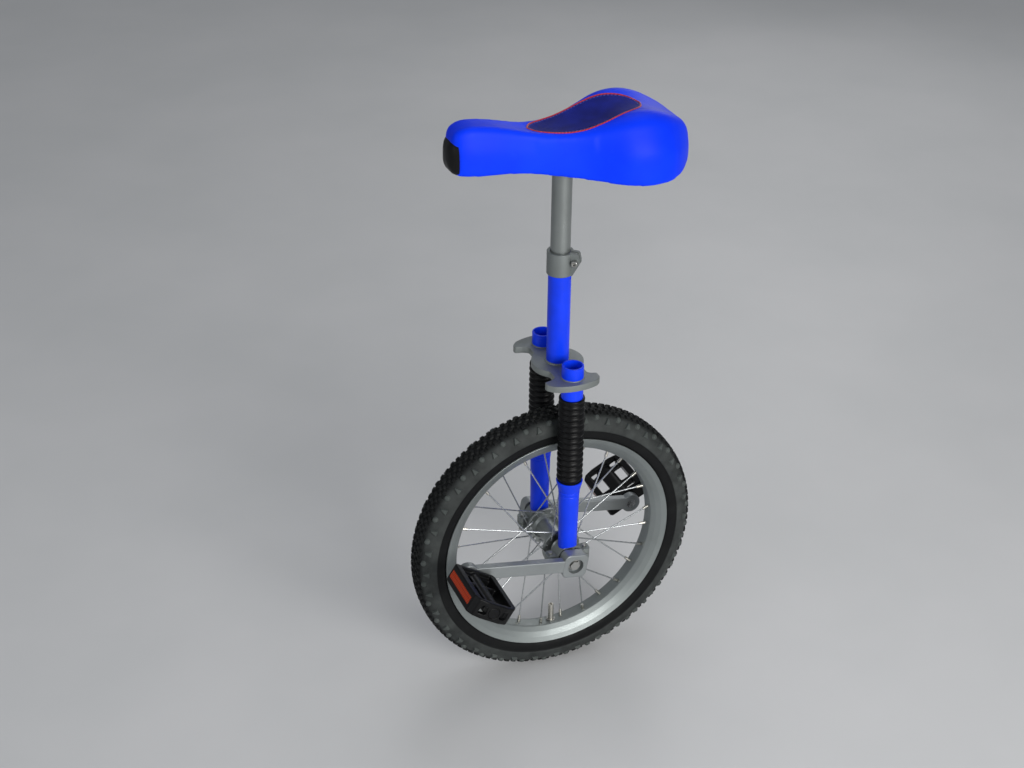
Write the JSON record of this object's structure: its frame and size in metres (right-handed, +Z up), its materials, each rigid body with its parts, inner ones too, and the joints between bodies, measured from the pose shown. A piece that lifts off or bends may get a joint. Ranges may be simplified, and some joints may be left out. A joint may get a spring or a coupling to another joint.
{
  "type": "unicycle",
  "caption": "Small-wheel unicycle with a telescopic sprung fork in rubber boots, a clamped height-adjusting post, a curved blue saddle and platform pedals with reflectors.",
  "frame": {"origin": "on the ground under the hub, where the tyre touches it, in the wheel's middle plane", "axes": "+X forward, the way the saddle's nose points; +Y to the rider's left; +Z up"},
  "size_m": [0.406, 0.328, 0.8238],
  "materials": {
    "blue_paint": "bright blue gloss paint",
    "satin_grey": "satin silver-grey paint",
    "cast_silver": "satin forged alloy",
    "post_steel": "dull satin plating",
    "zinc": "zinc-plated steel",
    "spoke_steel": "bright drawn wire",
    "brass_nickel": "nickel-plated brass",
    "bearing_steel": "ground steel",
    "boot_rubber": "black rubber",
    "tyre_rubber": "black tyre rubber",
    "tube_rubber": "butyl rubber",
    "tape": "woven cotton rim tape",
    "pedal_plastic": "black moulded plastic",
    "reflector": "amber-red prismatic reflector",
    "bush_plastic": "natural acetal",
    "saddle_vinyl": "bright blue moulded vinyl skin over foam",
    "bumper_plastic": "black plastic",
    "base_plastic": "black structural plastic"
  },
  "bodies": {
    "frame": {"fork_crown": "satin_grey", "seat_tube": "blue_paint", "seat_clamp": "satin_grey", "seat_clamp_bolt": "zinc", "seat_clamp_nut": "zinc", "upper_sleeve_left": "blue_paint", "upper_sleeve_right": "blue_paint", "stanchion_left": "bearing_steel", "stanchion_right": "bearing_steel", "spring_plugs": "zinc", "fork_spring_left": "bearing_steel", "fork_spring_right": "bearing_steel", "fork_boot_left": "boot_rubber", "fork_boot_right": "boot_rubber"},
    "fork_lowers": {"lower_leg_left": "blue_paint", "lower_leg_right": "blue_paint", "bearing_holder_left": "satin_grey", "bearing_holder_right": "satin_grey", "bearing_cap_left": "satin_grey", "bearing_cap_right": "satin_grey", "spring_rods": "zinc", "slide_bushings": "bush_plastic", "bearing_cap_bolts": "zinc", "bearing_outer_races": "bearing_steel"},
    "wheel": {"bearing_inner_races": "bearing_steel", "bearing_balls": "bearing_steel", "axle_spindle": "bearing_steel", "axle_spacers": "bearing_steel", "hub_shell": "cast_silver", "spokes": "spoke_steel", "spoke_nipples": "brass_nickel", "rim": "satin_grey", "rim_tape": "tape", "inner_tube": "tube_rubber", "tyre": "tyre_rubber", "valve_stem": "brass_nickel", "valve_nut": "zinc", "crank_left": "cast_silver", "crank_right": "cast_silver", "crank_bolts": "zinc", "pedal_spindle_left": "bearing_steel", "pedal_spindle_right": "bearing_steel", "pedal_nut_left": "zinc", "pedal_nut_right": "zinc"},
    "pedal_left": {"pedal_body_left": "pedal_plastic", "pedal_reflectors_left": "reflector", "pedal_bushings_left": "bush_plastic", "pedal_dust_cap_left": "pedal_plastic"},
    "pedal_right": {"pedal_body_right": "pedal_plastic", "pedal_reflectors_right": "reflector", "pedal_bushings_right": "bush_plastic", "pedal_dust_cap_right": "pedal_plastic"},
    "seat": {"seat_post": "post_steel", "saddle_bracket": "zinc", "saddle_cushion": "saddle_vinyl", "saddle_base": "base_plastic", "saddle_bolts": "zinc", "nose_bumper": "bumper_plastic"}
  },
  "joints": [
    {"name": "suspension_slide", "type": "slide", "parent": "frame", "child": "fork_lowers", "axis": [0, 0, 1], "range_m": [0, 0.045], "stiffness_N_per_m": 15000, "springref_m": -0.005, "deforming": ["fork_spring_left", "fork_spring_right", "fork_boot_left", "fork_boot_right"]},
    {"name": "wheel_spin", "type": "hinge", "parent": "fork_lowers", "child": "wheel", "pos_m": [0, 0, 0.203], "axis": [0, 1, 0], "continuous": true},
    {"name": "pedal_left_spin", "type": "hinge", "parent": "wheel", "child": "pedal_left", "pos_m": [0.15265, 0.122, 0.22992], "axis": [0, 1, 0], "continuous": true},
    {"name": "pedal_right_spin", "type": "hinge", "parent": "wheel", "child": "pedal_right", "pos_m": [-0.15265, -0.122, 0.17608], "axis": [0, 1, 0], "continuous": true},
    {"name": "seatpost_slide", "type": "slide", "parent": "frame", "child": "seat", "axis": [0, 0, 1], "range_m": [-0.035, 0.04]}
  ]
}
